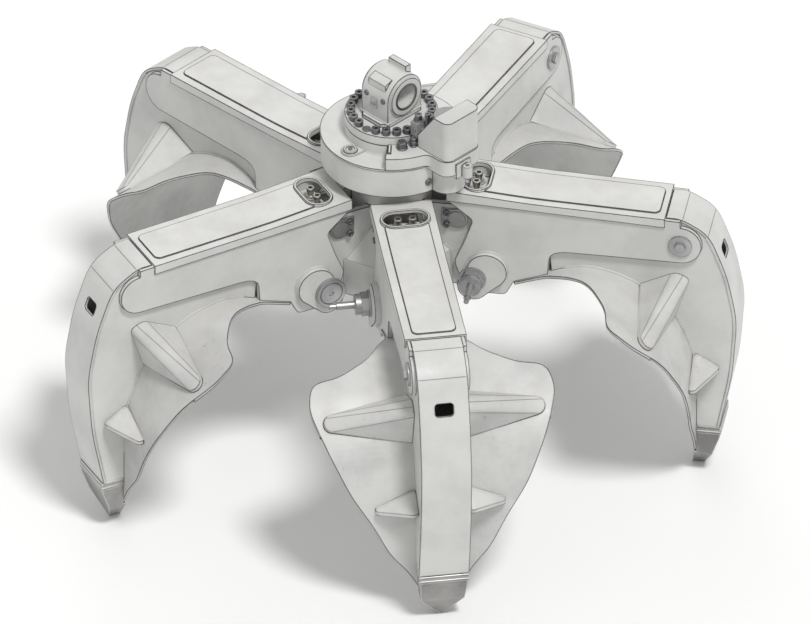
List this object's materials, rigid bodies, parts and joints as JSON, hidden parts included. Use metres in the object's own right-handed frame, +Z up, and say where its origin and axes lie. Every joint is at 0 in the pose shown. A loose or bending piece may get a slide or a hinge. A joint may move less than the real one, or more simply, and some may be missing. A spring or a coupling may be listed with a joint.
{
  "type": "orange peel grapple",
  "caption": "Hydraulic orange peel grapple with curved tines on a rotating hub, cylinders under folded covers and a bored hanger head.",
  "frame": {"origin": "centre of the hanger bore", "axes": "+Z up along the rotation axis, +X along the hanger bore, tines every 72 degrees starting 36 degrees from +X"},
  "size_m": [2.2316, 2.3378, 1.53],
  "materials": {
    "painted_steel": "satin, worn at edges",
    "bowl_plate": "satin, scuffed",
    "cover_paint": "satin",
    "tooth_steel": "worn bright at the point",
    "pin_steel": "dull",
    "dark_fastener": "black oxide",
    "motor_paint": "satin",
    "gear_steel": "oiled",
    "machined_steel": "machined",
    "bronze_bush": "oiled",
    "fitting_steel": "zinc plated",
    "cylinder_paint": "satin",
    "chrome_rod": "polished"
  },
  "bodies": {
    "head": {"hanger_head": "painted_steel", "head_bolts": "dark_fastener", "slew_housing": "painted_steel", "housing_plugs": "dark_fastener", "motor_bracket": "painted_steel", "bracket_bolts": "dark_fastener", "slew_motor": "motor_paint", "motor_guard": "painted_steel", "slew_ring": "gear_steel", "swivel_core": "machined_steel"},
    "hub": {"slew_gear": "gear_steel", "slew_balls": "gear_steel", "ring_bolts": "dark_fastener", "hub_body": "painted_steel", "hub_cover": "painted_steel", "pivot_bushes": "bronze_bush", "base_pins": "pin_steel", "swivel_sleeve": "machined_steel", "hub_fittings": "fitting_steel"},
    "pinion": {"slew_pinion": "gear_steel"},
    "tine_1": {"tine_1_frame": "painted_steel", "tine_1_shell": "bowl_plate", "tine_1_tip": "tooth_steel", "tine_1_cover": "cover_paint", "tine_1_pivot_pin": "pin_steel", "tine_1_rod_pin": "pin_steel"},
    "barrel_1": {"cylinder_1_barrel": "cylinder_paint"},
    "rod_1": {"cylinder_1_rod": "chrome_rod"},
    "tine_2": {"tine_2_frame": "painted_steel", "tine_2_shell": "bowl_plate", "tine_2_tip": "tooth_steel", "tine_2_cover": "cover_paint", "tine_2_pivot_pin": "pin_steel", "tine_2_rod_pin": "pin_steel"},
    "barrel_2": {"cylinder_2_barrel": "cylinder_paint"},
    "rod_2": {"cylinder_2_rod": "chrome_rod"},
    "tine_3": {"tine_3_frame": "painted_steel", "tine_3_shell": "bowl_plate", "tine_3_tip": "tooth_steel", "tine_3_cover": "cover_paint", "tine_3_pivot_pin": "pin_steel", "tine_3_rod_pin": "pin_steel"},
    "barrel_3": {"cylinder_3_barrel": "cylinder_paint"},
    "rod_3": {"cylinder_3_rod": "chrome_rod"},
    "tine_4": {"tine_4_frame": "painted_steel", "tine_4_shell": "bowl_plate", "tine_4_tip": "tooth_steel", "tine_4_cover": "cover_paint", "tine_4_pivot_pin": "pin_steel", "tine_4_rod_pin": "pin_steel"},
    "barrel_4": {"cylinder_4_barrel": "cylinder_paint"},
    "rod_4": {"cylinder_4_rod": "chrome_rod"},
    "tine_5": {"tine_5_frame": "painted_steel", "tine_5_shell": "bowl_plate", "tine_5_tip": "tooth_steel", "tine_5_cover": "cover_paint", "tine_5_pivot_pin": "pin_steel", "tine_5_rod_pin": "pin_steel"},
    "barrel_5": {"cylinder_5_barrel": "cylinder_paint"},
    "rod_5": {"cylinder_5_rod": "chrome_rod"}
  },
  "joints": [
    {"name": "rotator_spin", "type": "hinge", "parent": "head", "child": "hub", "pos_m": [0, 0, -0.285], "axis": [0, 0, 1], "continuous": true},
    {"name": "pinion_spin", "type": "hinge", "parent": "head", "child": "pinion", "pos_m": [0.2482, 0.01997, -0.244], "axis": [0, 0, 1], "continuous": true},
    {"name": "tine_1_hinge", "type": "hinge", "parent": "hub", "child": "tine_1", "pos_m": [0.24109, 0.17516, -0.674], "axis": [-0.5878, 0.809, 0], "range_deg": [0, 58]},
    {"name": "barrel_1_pivot", "type": "hinge", "parent": "hub", "child": "barrel_1", "pos_m": [0.19255, 0.13989, -0.458], "axis": [-0.5878, 0.809, 0], "range_deg": [0, 50]},
    {"name": "rod_1_slide", "type": "slide", "parent": "barrel_1", "child": "rod_1", "axis": [0.8088, 0.5876, -0.022], "range_m": [0, 0.178]},
    {"name": "tine_2_hinge", "type": "hinge", "parent": "hub", "child": "tine_2", "pos_m": [-0.09209, 0.28341, -0.674], "axis": [-0.9511, -0.309, 0], "range_deg": [0, 58]},
    {"name": "barrel_2_pivot", "type": "hinge", "parent": "hub", "child": "barrel_2", "pos_m": [-0.07355, 0.22635, -0.458], "axis": [-0.9511, -0.309, 0], "range_deg": [0, 50]},
    {"name": "rod_2_slide", "type": "slide", "parent": "barrel_2", "child": "rod_2", "axis": [-0.3089, 0.9508, -0.022], "range_m": [0, 0.178]},
    {"name": "tine_3_hinge", "type": "hinge", "parent": "hub", "child": "tine_3", "pos_m": [-0.298, 0, -0.674], "axis": [0, -1, 0], "range_deg": [0, 58]},
    {"name": "barrel_3_pivot", "type": "hinge", "parent": "hub", "child": "barrel_3", "pos_m": [-0.238, 0, -0.458], "axis": [0, -1, 0], "range_deg": [0, 50]},
    {"name": "rod_3_slide", "type": "slide", "parent": "barrel_3", "child": "rod_3", "axis": [-0.9998, 0, -0.022], "range_m": [0, 0.178]},
    {"name": "tine_4_hinge", "type": "hinge", "parent": "hub", "child": "tine_4", "pos_m": [-0.09209, -0.28341, -0.674], "axis": [0.9511, -0.309, 0], "range_deg": [0, 58]},
    {"name": "barrel_4_pivot", "type": "hinge", "parent": "hub", "child": "barrel_4", "pos_m": [-0.07355, -0.22635, -0.458], "axis": [0.9511, -0.309, 0], "range_deg": [0, 50]},
    {"name": "rod_4_slide", "type": "slide", "parent": "barrel_4", "child": "rod_4", "axis": [-0.3089, -0.9508, -0.022], "range_m": [0, 0.178]},
    {"name": "tine_5_hinge", "type": "hinge", "parent": "hub", "child": "tine_5", "pos_m": [0.24109, -0.17516, -0.674], "axis": [0.5878, 0.809, 0], "range_deg": [0, 58]},
    {"name": "barrel_5_pivot", "type": "hinge", "parent": "hub", "child": "barrel_5", "pos_m": [0.19255, -0.13989, -0.458], "axis": [0.5878, 0.809, 0], "range_deg": [0, 50]},
    {"name": "rod_5_slide", "type": "slide", "parent": "barrel_5", "child": "rod_5", "axis": [0.8088, -0.5876, -0.022], "range_m": [0, 0.178]}
  ],
  "couplings": [
    {"joint": "pinion_spin", "follows": "rotator_spin", "ratio": -4.5333},
    {"joint": "barrel_1_pivot", "follows": "tine_1_hinge", "ratio": 0.846},
    {"joint": "rod_1_slide", "follows": "tine_1_hinge", "m_per_rad": 0.17239},
    {"joint": "barrel_2_pivot", "follows": "tine_2_hinge", "ratio": 0.846},
    {"joint": "rod_2_slide", "follows": "tine_2_hinge", "m_per_rad": 0.17239},
    {"joint": "barrel_3_pivot", "follows": "tine_3_hinge", "ratio": 0.846},
    {"joint": "rod_3_slide", "follows": "tine_3_hinge", "m_per_rad": 0.17239},
    {"joint": "barrel_4_pivot", "follows": "tine_4_hinge", "ratio": 0.846},
    {"joint": "rod_4_slide", "follows": "tine_4_hinge", "m_per_rad": 0.17239},
    {"joint": "barrel_5_pivot", "follows": "tine_5_hinge", "ratio": 0.846},
    {"joint": "rod_5_slide", "follows": "tine_5_hinge", "m_per_rad": 0.17239}
  ]
}
